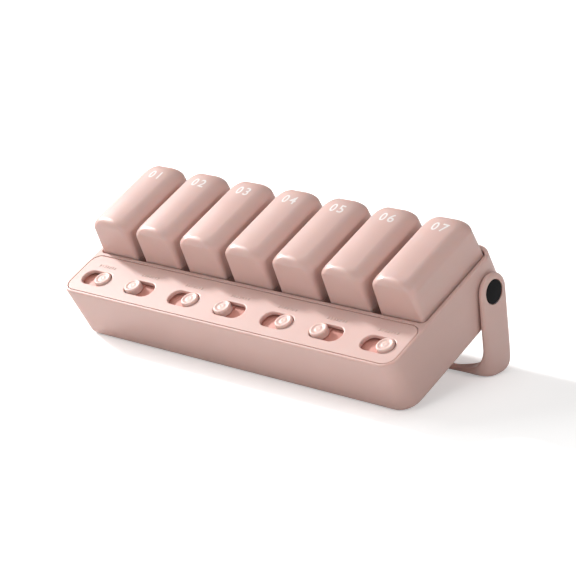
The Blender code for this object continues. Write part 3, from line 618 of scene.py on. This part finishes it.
class PILL_OT_strip(bpy.types.Operator):
    """Make the slider strip with its seven slots and the marks over them"""
    bl_idname = "pill_organizer.strip"
    bl_label = "Slider strip"

    def execute(self, context):
        sizes, pods = context.scene.pill_tray, context.scene.pill_pods
        high = sizes.rim_height
        edge = sizes.groove * 0.8
        fit = sizes.groove / 6
        ledge = high - sizes.groove_depth
        bm = bmesh.new()
        heights = [(high - sizes.panel_thickness, fit), (ledge, fit), (ledge, sizes.groove)]
        heights += [(height, sizes.groove + inset) for height, inset in edge_steps(high, edge, 4)]
        rings = [strip_ring(sizes, height, gap) for height, gap in heights]
        bottom, top = loft(bm, rings, steps=14)
        bottom_edges = drop_face(bm, bottom)
        top_edges = drop_face(bm, top)
        for x in row(POD_COUNT, pods.pitch):
            lower, upper = self.slot(bm, sizes, x)
            bottom_edges += lower
            top_edges += upper
        flat = set(fill_flat(bm, bottom_edges) + fill_flat(bm, top_edges))
        mesh = flat_topped(bm, "slider_strip", flat)
        add_piece("slider_strip", mesh, "tray", "shell_pink", ("slider_panel",))
        add_piece("slot_marks", self.marks(sizes, pods), "tray", "shell_pink")
        add_piece("slot_floors", self.floors(sizes, pods), "tray", "track_pink")
        keep("slider_track", "track_pink")
        for number in range(1, SCREW_COUNT + 1):
            keep(f"track_screw_{number}", "steel")
        return {'FINISHED'}

    def slot(self, bm, sizes, x):
        """Slot with round ends and a soft lip, open at both faces."""
        high = sizes.rim_height

        def ring(height, grow):
            half_width = sizes.slot_width / 2 + grow
            return Ring(sizes.slot_length / 2 + grow, -half_width, half_width, half_width * 0.999, height)
        rings = [ring(high - sizes.panel_thickness, 0)]
        rings += [ring(height, grow) for height, grow in edge_steps(high, sizes.slot_lip, 5)]
        bottom, top = loft(bm, rings, 14, [Matrix.Translation((x, sizes.slot_y, 0))] * len(rings))
        return drop_face(bm, bottom), drop_face(bm, top)

    def marks(self, sizes, pods):
        """Fine raised ticks over each slot, a plain scale for the slider."""
        bm = bmesh.new()
        reach = Vector((sizes.tick_width / 2, sizes.tick_length / 2, sizes.tick_rise))
        for x in row(POD_COUNT, pods.pitch):
            for shift in row(TICK_COUNT, sizes.tick_pitch):
                middle = Vector((x + shift, sizes.tick_y, sizes.rim_height))
                add_block(bm, middle - reach, middle + reach, sizes.tick_rise / 2)
        closed(bm, merge=1e-7)
        return smooth_mesh(bm, "slot_marks", TRAY)

    def floors(self, sizes, pods):
        """Raised floors in the track's pockets, seen through the slots."""
        bm = bmesh.new()
        reach_x, reach_y = sizes.slot_length / 2 + sizes.slot_lip, sizes.slot_width / 2 + sizes.slot_lip
        base = sizes.rim_height - sizes.panel_thickness * 2
        for x in row(POD_COUNT, pods.pitch):
            add_block(bm, (x - reach_x, sizes.slot_y - reach_y, base),
                      (x + reach_x, sizes.slot_y + reach_y, sizes.slot_floor), sizes.groove / 2)
        closed(bm)
        return smooth_mesh(bm, "slot_floors", TRAY)


class PILL_OT_knobs(bpy.types.Operator):
    """Make the seven sliding knobs, parked right and left in turn"""
    bl_idname = "pill_organizer.knobs"
    bl_label = "Knobs"

    def execute(self, context):
        sizes, pods = context.scene.pill_tray, context.scene.pill_pods
        cap, foot = self.cap(sizes), self.foot(sizes)
        for number, x in enumerate(row(POD_COUNT, pods.pitch), 1):
            body = f"knob_{number}"
            shift = sizes.knob_travel / 2 * (1 if number % 2 else -1)
            place = TRAY @ Matrix.Translation((x + shift, 0, 0))
            add_copy(f"slider_knob_cap_{number}", cap, place, body, "knob_pink", (f"slider_knob_{number}",))
            add_copy(f"slider_foot_{number}", foot, place, body, "track_pink")
        return {'FINISHED'}

    def cap(self, sizes):
        """Round cap with a soft raised ring, a shallow dish and a faint inner ring."""
        top = sizes.rim_height + sizes.knob_rise
        bottom = sizes.slot_floor + sizes.knob_foot
        radius, dish = sizes.knob_radius, sizes.knob_dish
        edge = radius * 0.17
        profile = [(radius * part, top - dish * fall) for part, fall in KNOB_FACE]
        profile += [(radius - edge * left, top - edge * rise) for rise, left in quarter(7)]
        profile += [(radius, bottom), (0, bottom)]
        bm = bmesh.new()
        add_turned(bm, profile, (0, sizes.slot_y, 0), (0, 0, 1), steps=72)
        closed(bm)
        return smooth_mesh(bm, "knob_cap")

    def foot(self, sizes):
        """Thin plate under the strip that keeps a knob in its slot."""
        gap = sizes.groove / 6
        half, reach = sizes.knob_radius * 0.8, sizes.knob_radius * 1.45
        bm = bmesh.new()
        add_block(bm, (-half, sizes.slot_y - reach, sizes.slot_floor + gap),
                  (half, sizes.slot_y + reach, sizes.slot_floor + sizes.knob_foot), gap)
        closed(bm)
        return smooth_mesh(bm, "knob_foot")


class PILL_OT_pods(bpy.types.Operator):
    """Make the seven pods: cups, lids with their hinges, and the printed numbers"""
    bl_idname = "pill_organizer.pods"
    bl_label = "Pods"

    def execute(self, context):
        sizes = context.scene.pill_pods
        cup = self.cup(sizes)
        lid = self.lid(sizes)
        skin = bmesh.new()
        skin.from_mesh(lid)
        surface = BVHTree.FromBMesh(skin)
        skin.free()
        for number, x in enumerate(row(POD_COUNT, sizes.pitch), 1):
            place = TRAY @ Matrix.Translation((x, 0, 0))
            cover = f"lid_{number}"
            add_copy(f"cup_shell_{number}", cup, place, f"pod_{number}", "shell_pink",
                     (f"pod_cup_{number}",), look="lid_pink")
            add_copy(f"lid_shell_{number}", lid, place, cover, "lid_pink", (f"pod_lid_{number}",))
            ink = self.number(f"{number:02d}", sizes, surface)
            ink.transform(place)
            add_piece(f"pod_number_{number}", ink, cover, "lid_pink", look="print")
            keep(f"lid_pin_{number}", "steel")
        return {'FINISHED'}

    def crown_ring(self, sizes, height):
        """Outline of a pod's upper form at a height."""
        share = (height - sizes.seam) / (sizes.top - sizes.seam)
        half = sizes.width / 2 - drawn_in(height, sizes.top, sizes.side_round)
        widest = half * 0.9
        lean = sizes.front_lean * share
        return Ring(half, sizes.front + lean + drawn_in(height, sizes.top, sizes.front_round),
                    sizes.rear - drawn_in(height, sizes.top, sizes.rear_round),
                    min(widest, between(sizes.corner, sizes.shoulder_corner, share)), height,
                    min(widest, between(sizes.rear_corner, sizes.rear_shoulder, share)))

    def lid(self, sizes):
        """Domed lid with a notch for the cup's lug and a knuckle each side of it."""
        shoulder = max(sizes.side_round, sizes.rear_round)
        heights = [sizes.seam, *arc_heights(sizes.top, shoulder, 24)]
        rings = [self.crown_ring(sizes, height) for height in heights]
        rings += self.roof(sizes, rings[-1])
        bm = bmesh.new()
        bottom, _ = loft(bm, rings, steps=12)
        for vert in bm.verts:
            share = max(0.0, 1 - (sizes.top - vert.co.z) / sizes.arch_reach)
            vert.co.z -= vert.co.x ** 2 / (2 * sizes.arch) * share
        drop_face(bm, bottom)
        bmesh.ops.recalc_face_normals(bm, faces=bm.faces)
        self.notch(bm, sizes)
        bm = walled(bm, "lid_outside", sizes.wall)
        near = sizes.wall * NOTCH_HALF
        far = near + sizes.wall * KNUCKLE_LENGTH
        self.knuckle(bm, sizes, -far, -near)
        self.knuckle(bm, sizes, near, far)
        return smooth_mesh(bm, "lid_pattern")

    def roof(self, sizes, edge):
        """Ever narrower outlines over the lid's top, fine enough for its arch."""
        rings = []
        for step in range(1, 11):
            share = step / 10 * 0.94
            half = edge.half * (1 - share)
            widest = half * 0.98
            front = edge.front + sizes.front_round * 0.25 * share
            rear = edge.rear - sizes.rear_round * 0.4 * share
            rings.append(Ring(half, front, rear, min(edge.corner, widest), edge.height,
                              min(edge.rear_corner, widest)))
        return rings

    def notch(self, bm, sizes):
        """Cuts the lug's notch out of the open rear wall."""
        half = sizes.wall * NOTCH_HALF
        high = HINGE_Z + sizes.knuckle + sizes.wall / 4
        across, up = (1, 0, 0), (0, 0, 1)

        def rear_faces(top):
            middles = [(face, face.calc_center_median()) for face in bm.faces]
            return [(face, middle) for face, middle in middles
                    if middle.y > sizes.rear - sizes.wall / 2 and middle.z < top]
        for place, normal in (((half, 0, 0), across), ((-half, 0, 0), across), ((0, 0, high), up)):
            rear = rear_faces(high + sizes.rear_round)
            geom = list({item for face, _ in rear for item in (face, *face.edges, *face.verts)})
            bmesh.ops.bisect_plane(bm, geom=geom, dist=1e-7, plane_co=place, plane_no=normal)
        inside = [face for face, middle in rear_faces(high) if abs(middle.x) < half]
        bmesh.ops.delete(bm, geom=inside, context='FACES')

    def knuckle(self, bm, sizes, low, high):
        """Bored knuckle on the hinge axis and the web that carries it."""
        web = sizes.knuckle * 0.8
        bore = sizes.knuckle * 0.53
        edge = sizes.knuckle * 0.08
        profile = [(bore, low), (sizes.knuckle - edge, low), (sizes.knuckle, low + edge),
                   (sizes.knuckle, high - edge), (sizes.knuckle - edge, high), (bore, high)]
        fresh = bmesh.new()
        add_turned(fresh, profile, (0, HINGE_Y, HINGE_Z), (1, 0, 0), steps=40)
        add_block(fresh, (low, sizes.rear - sizes.wall / 2, HINGE_Z - web),
                  (high, HINGE_Y - bore * 1.1, HINGE_Z + web), edge)
        closed(fresh)
        merge(bm, fresh)

    def cup(self, sizes):
        """Open tapered cup with the lug that carries the middle knuckle."""
        high = sizes.seam - sizes.wall / 4
        rings = [self.cup_ring(sizes, sizes.foot + sizes.wall * rise, high, sizes.wall * left)
                 for rise, left in quarter(5)]
        rings.append(self.cup_ring(sizes, high, high, 0))
        bm = bmesh.new()
        _, top = loft(bm, rings, steps=12)
        drop_face(bm, top)
        bmesh.ops.recalc_face_normals(bm, faces=bm.faces)
        bm = walled(bm, "cup_outside", sizes.wall)
        half = sizes.wall * LUG_HALF
        self.knuckle(bm, sizes, -half, half)
        riser = bmesh.new()
        add_block(riser, (-half, sizes.rear - sizes.wall, high - sizes.wall * 4),
                  (half, sizes.rear, HINGE_Z + sizes.knuckle * 0.8), sizes.wall * 0.1)
        merge(bm, riser)
        return smooth_mesh(bm, "cup_pattern")

    def cup_ring(self, sizes, height, high, inset):
        """Outline of a cup at a height."""
        left = (high - height) / (high - sizes.foot)
        taper = sizes.foot_inset * left
        return Ring(sizes.width / 2 - taper - inset, sizes.front + taper + inset,
                    sizes.rear - taper * 0.75 - inset, sizes.corner - inset * 0.6, height,
                    sizes.rear_corner - inset * 0.6)

    def number(self, text, sizes, surface):
        """Number printed on the lid: laid on its curved top, a hair proud."""
        curve = bpy.data.curves.new("pod_number", 'FONT')
        curve.body = text
        curve.align_x = 'CENTER'
        curve.align_y = 'CENTER'
        curve.size = sizes.number_height * 1.38
        curve.offset = sizes.number_height * 0.018
        curve.space_character = 1.3
        curve.resolution_u = 6
        flat = finished(curve, "number_outline")
        bm = bmesh.new()
        bm.from_mesh(flat)
        bpy.data.meshes.remove(flat)
        bmesh.ops.remove_doubles(bm, verts=bm.verts, dist=1e-6)
        for normal in (Vector((1, 0, 0)), Vector((0, 1, 0))):
            for place in row(NUMBER_CUTS, sizes.number_height / 10):
                bmesh.ops.bisect_plane(bm, geom=bm.verts[:] + bm.edges[:] + bm.faces[:], dist=1e-7,
                                       plane_co=normal * place, plane_no=normal)
        film = sizes.wall / 40
        for vert in bm.verts:
            place = Vector((vert.co.x + sizes.number_x, vert.co.y + sizes.number_y, sizes.top * 2))
            hit = surface.ray_cast(place, Vector((0, 0, -1)))[0]
            vert.co = hit + Vector((0, 0, film))
        bmesh.ops.recalc_face_normals(bm, faces=bm.faces)
        if sum(face.normal.z for face in bm.faces) < 0:
            bmesh.ops.reverse_faces(bm, faces=bm.faces)
        mesh = finished(to_mesh(bm, "pod_number"), "pod_number", ('SOLIDIFY', {
            "thickness": film * 1.6, "offset": -1, "use_rim": True}))
        shaded(mesh)
        return mesh


class PILL_OT_stand(bpy.types.Operator):
    """Make the stand, bent from leg to crossbar, and its black pivot caps"""
    bl_idname = "pill_organizer.stand"
    bl_label = "Stand"

    def execute(self, context):
        sizes = context.scene.pill_stand
        right = self.head(sizes) + self.leg(sizes) + self.foot(sizes)
        left = [cut._replace(inner=(-cut.inner[0], cut.inner[1]), outer=(-cut.outer[0], cut.outer[1]))
                for cut in reversed(right)]
        rings, places = zip(*[self.strap_ring(cut) for cut in right + left])
        bm = bmesh.new()
        loft(bm, rings, 6, places)
        closed(bm)
        strap = to_mesh(bm, "stand_strap")
        tools = [self.cap_tool(sizes, side) for side in (-1, 1)]
        mesh = finished(strap, "stand_frame", *[
            ('BOOLEAN', {"object": tool, "operation": 'DIFFERENCE', "solver": 'EXACT'}) for tool in tools])
        for tool in tools:
            bpy.data.objects.remove(tool)
        shaded(mesh, angle=30)
        add_piece("stand_frame", mesh, "stand", "shell_pink", ("stand_bail",))
        for side, name in ((-1, "left"), (1, "right")):
            add_piece(f"pivot_disc_{name}", self.cap(sizes, side, name), "tray", "cap_black",
                      (f"pivot_cap_{name}",))
            keep(f"pivot_bush_{name}", "shell_pink")
        return {'FINISHED'}

    def strap_ring(self, cut):
        """Outline of the stand's strap at a cut and the matrix that stands it square to the strap."""
        inner, outer = Vector((cut.inner[0], 0, cut.inner[1])), Vector((cut.outer[0], 0, cut.outer[1]))
        across = (outer - inner).normalized()
        along = across.cross(Vector((0, 1, 0)))
        place = Matrix((across, (0, 1, 0), along)).transposed().to_4x4()
        place.translation = (inner + outer) / 2
        half = (outer - inner).length / 2
        corner = min(cut.corner, half * 0.98)
        toe = min(cut.toe, half * 1.98 - corner)
        return Ring(half, cut.front, cut.rear, corner, 0, corner, toe, cut.toe), place

    def head(self, sizes):
        """Round head of a leg, from its tip down to the pivot."""
        cuts = []
        for turn in HEAD_TURNS:
            reach = sizes.boss * math.cos(math.radians(turn))
            rise = sizes.boss * math.sin(math.radians(turn))
            soft = drawn_in(rise, sizes.boss, sizes.edge)
            height = PIVOT.z + rise
            cuts.append(Section((LEG_OUTER - sizes.thickness + soft, height), (LEG_OUTER - soft, height),
                                PIVOT.y - reach, PIVOT.y + reach, min(sizes.edge, reach * 0.9)))
        return cuts

    def leg(self, sizes):
        """Straight part of a leg."""
        cuts = []
        low = sizes.bar_high + sizes.fillet
        for step in range(LEG_STEPS + 1):
            share = step / LEG_STEPS
            height = between(PIVOT.z, low, share)
            middle = PIVOT.y + sizes.lean * (1 - height / PIVOT.z)
            half = between(sizes.leg_half, sizes.boss, (1 - share) ** 2)
            toe = between(sizes.edge, sizes.toe * LEG_TOE, share ** 4)
            cuts.append(Section((LEG_OUTER - sizes.thickness, height), (LEG_OUTER, height),
                                middle - half, middle + half, sizes.edge, toe))
        return cuts

    def foot(self, sizes):
        """Bend from the leg into the crossbar, which ends in the middle of the tray."""
        inner_x = LEG_OUTER - sizes.thickness
        cuts = []
        for step, (rise, left) in enumerate(quarter(FOOT_STEPS)):
            share = step / FOOT_STEPS
            inner = Vector((inner_x - sizes.fillet * rise, sizes.bar_high + sizes.fillet * left))
            outer = self.outer_line(sizes, share)
            middle = PIVOT.y + sizes.lean * (1 - (inner.y + outer.y) / 2 / PIVOT.z)
            heel = drawn_in(sizes.heel - outer.y, sizes.heel, sizes.heel)
            heel += sizes.heel * HEEL_SWEEP * share ** 3
            cuts.append(Section(inner, outer, middle - sizes.leg_half, middle + sizes.leg_half - heel,
                                sizes.bend_edge, between(sizes.toe, sizes.toe * LEG_TOE, left)))
        last = cuts[-1]
        for step in range(1, BAR_STEPS + 1):
            share = step / BAR_STEPS
            ease = share * share * (3 - 2 * share)
            inner = Vector((last.inner.x - sizes.heel * share, sizes.bar_high))
            outer = Vector((between(last.outer.x, inner.x, ease), sizes.bar_low * ease))
            rear = between(last.rear, last.front + sizes.bar_depth, math.sin(share * math.pi / 2))
            cuts.append(Section(inner, outer, last.front, rear, between(sizes.bend_edge, sizes.edge, share),
                                between(last.toe, sizes.edge, ease)))
        end = sizes.edge / 2
        cuts.append(Section(Vector((end, sizes.bar_high)), Vector((end, sizes.bar_low)), last.front,
                            last.front + sizes.bar_depth, sizes.edge * 0.9))
        return cuts[1:]

    def outer_line(self, sizes, share):
        """Place on the foot's outer line, which runs straight down and then round the bend."""
        straight = sizes.bar_high + sizes.fillet - sizes.bend
        walk = share * (straight + sizes.bend * math.pi / 2)
        turn = max(0.0, walk - straight) / sizes.bend
        return Vector((LEG_OUTER - sizes.bend * (1 - math.cos(turn)),
                       max(0.0, straight - walk) + sizes.bend * (1 - math.sin(turn))))

    def cap_tool(self, sizes, side):
        """Cutter for the cap's recess in one leg."""
        bm = bmesh.new()
        inner = side * (LEG_OUTER - sizes.recess)
        outer = side * (LEG_OUTER + sizes.recess)
        radius = sizes.cap * 1.06
        profile = [(0, inner), (radius, inner), (radius, outer), (0, outer)]
        add_turned(bm, profile, PIVOT_LINE, (1, 0, 0), steps=96)
        closed(bm)
        tool = add_object("cap_tool", to_mesh(bm, "cap_tool"))
        tool.hide_render = True
        return tool

    def cap(self, sizes, side, name):
        """Black cap with a softened edge, just under flush."""
        edge = sizes.recess * 0.35
        face = LEG_OUTER - sizes.recess * 0.08
        low = LEG_OUTER - sizes.recess * 0.95
        profile = [(0, side * face)]
        profile += [(sizes.cap - edge * left, side * (face - edge * rise)) for rise, left in quarter(5)]
        profile += [(sizes.cap, side * low), (0, side * low)]
        bm = bmesh.new()
        add_turned(bm, profile, PIVOT_LINE, (1, 0, 0), steps=96)
        closed(bm)
        return smooth_mesh(bm, f"pivot_disc_{name}")


class PILL_OT_stage(bpy.types.Operator):
    """Make the floor, the lamps, the background and the camera"""
    bl_idname = "pill_organizer.stage"
    bl_label = "Stage"

    def execute(self, context):
        self.floor(context)
        self.lamps(context)
        self.background(context)
        self.camera(context)
        context.scene.view_settings.view_transform = 'Standard'
        return {'FINISHED'}

    def floor(self, context):
        """Wide pale floor that shows white to the camera and keeps the shadow."""
        settings = context.scene.pill_stage
        bm = bmesh.new()
        bmesh.ops.create_grid(bm, x_segments=1, y_segments=1, size=1.8)
        floor = add_object("floor", to_mesh(bm, "floor"))
        material = bpy.data.materials.new("floor_paper")
        material.use_nodes = True
        tree = material.node_tree
        shader = tree.nodes['Principled BSDF']
        set_inputs(shader, {'Base Color': (*settings.floor, 1), 'Roughness': 0.9, 'Specular IOR Level': 0.1,
                            'Emission Color': (1, 1, 1, 1)})
        rays = tree.nodes.new('ShaderNodeLightPath')
        scale = tree.nodes.new('ShaderNodeMath')
        scale.operation = 'MULTIPLY'
        scale.inputs[1].default_value = 0.35
        tree.links.new(rays.outputs['Is Camera Ray'], scale.inputs[0])
        tree.links.new(scale.outputs['Value'], shader.inputs['Emission Strength'])
        floor.data.materials.append(material)

    def lamps(self, context):
        """Small key lamp low on the left and large soft lamps round the object."""
        settings = context.scene.pill_stage
        lamps = (("key_lamp", (-2.535, 0.144, 1.599), settings.key, 0.28),
                 ("left_lamp", (-1.2, -0.2, 0.9), settings.left, 1.0),
                 ("top_lamp", (0, 0, 1.5), settings.top, 1.2),
                 ("front_lamp", (0.2, -1.4, 0.7), settings.front, 1.0),
                 ("right_lamp", (1.4, -0.1, 0.8), settings.right, 1.0))
        for name, place, power, size in lamps:
            light = bpy.data.lights.new(name, 'AREA')
            light.energy = power
            light.size = size
            light.shape = 'DISK'
            lamp = add_object(name, light)
            lamp.location = place
            lamp.rotation_euler = Vector(place).to_track_quat('Z', 'Y').to_euler()

    def background(self, context):
        """White to the camera, plain room light elsewhere."""
        world = bpy.data.worlds.new("room")
        context.scene.world = world
        world.use_nodes = True
        tree = world.node_tree
        room = tree.nodes['Background']
        set_inputs(room, {'Color': (1, 0.985, 0.975, 1), 'Strength': context.scene.pill_stage.sky})
        paper = tree.nodes.new('ShaderNodeBackground')
        set_inputs(paper, {'Color': (1, 1, 1, 1)})
        rays = tree.nodes.new('ShaderNodeLightPath')
        mix = tree.nodes.new('ShaderNodeMixShader')
        tree.links.new(rays.outputs['Is Camera Ray'], mix.inputs['Fac'])
        tree.links.new(room.outputs['Background'], mix.inputs[1])
        tree.links.new(paper.outputs['Background'], mix.inputs[2])
        tree.links.new(mix.outputs['Shader'], tree.nodes['World Output'].inputs['Surface'])

    def camera(self, context):
        """Camera from the front right, placed in tray coordinates to match the photo's view."""
        eye = Vector((0.604959, -0.411412, 0.517491))
        aim = Vector((-0.012942, 0.051021, 0))
        roll = math.radians(-24.2184)
        level = (aim - eye).to_track_quat('-Z', 'Y').to_matrix().to_4x4()
        data = bpy.data.cameras.new("camera")
        data.lens = 139.62
        data.sensor_width = 36
        camera = add_object("camera", data)
        camera.matrix_world = TRAY @ Matrix.Translation(eye) @ level @ Matrix.Rotation(roll, 4, 'Z')
        context.scene.camera = camera


class PILL_PT_panel(bpy.types.Panel):
    """Sidebar panel that lists the sizes, the finishes and the steps"""
    bl_idname = "PILL_PT_panel"
    bl_label = "Pill Organizer"
    bl_space_type = 'VIEW_3D'
    bl_region_type = 'UI'
    bl_category = "Pill Organizer"

    def draw(self, context):
        for step in STEPS:
            self.layout.operator(step.bl_idname)
        for group in GROUPS:
            box = self.layout.box()
            settings = getattr(context.scene, group)
            for name in settings.bl_rna.properties.keys():
                if name not in ("rna_type", "name"):
                    box.prop(settings, name)


GROUPS = {"pill_tray": PillTraySizes, "pill_pods": PillPodSizes, "pill_stand": PillStandSizes,
          "pill_finishes": PillFinishes, "pill_stage": PillStage}
STEPS = (PILL_OT_stage, PILL_OT_tray, PILL_OT_strip, PILL_OT_knobs, PILL_OT_pods, PILL_OT_stand)


def register():
    """Registers the settings, the steps and the panel."""
    for group, kind in GROUPS.items():
        bpy.utils.register_class(kind)
        setattr(bpy.types.Scene, group, PointerProperty(type=kind))
    for step in STEPS:
        bpy.utils.register_class(step)
    bpy.utils.register_class(PILL_PT_panel)


def unregister():
    """Takes the settings, the steps and the panel out again."""
    bpy.utils.unregister_class(PILL_PT_panel)
    for step in reversed(STEPS):
        bpy.utils.unregister_class(step)
    for group, kind in GROUPS.items():
        delattr(bpy.types.Scene, group)
        bpy.utils.unregister_class(kind)


def main():
    """Builds the whole organizer."""
    register()
    for step in STEPS:
        getattr(bpy.ops.pill_organizer, step.bl_idname.split(".")[1])()


if __name__ == "__main__":
    main()
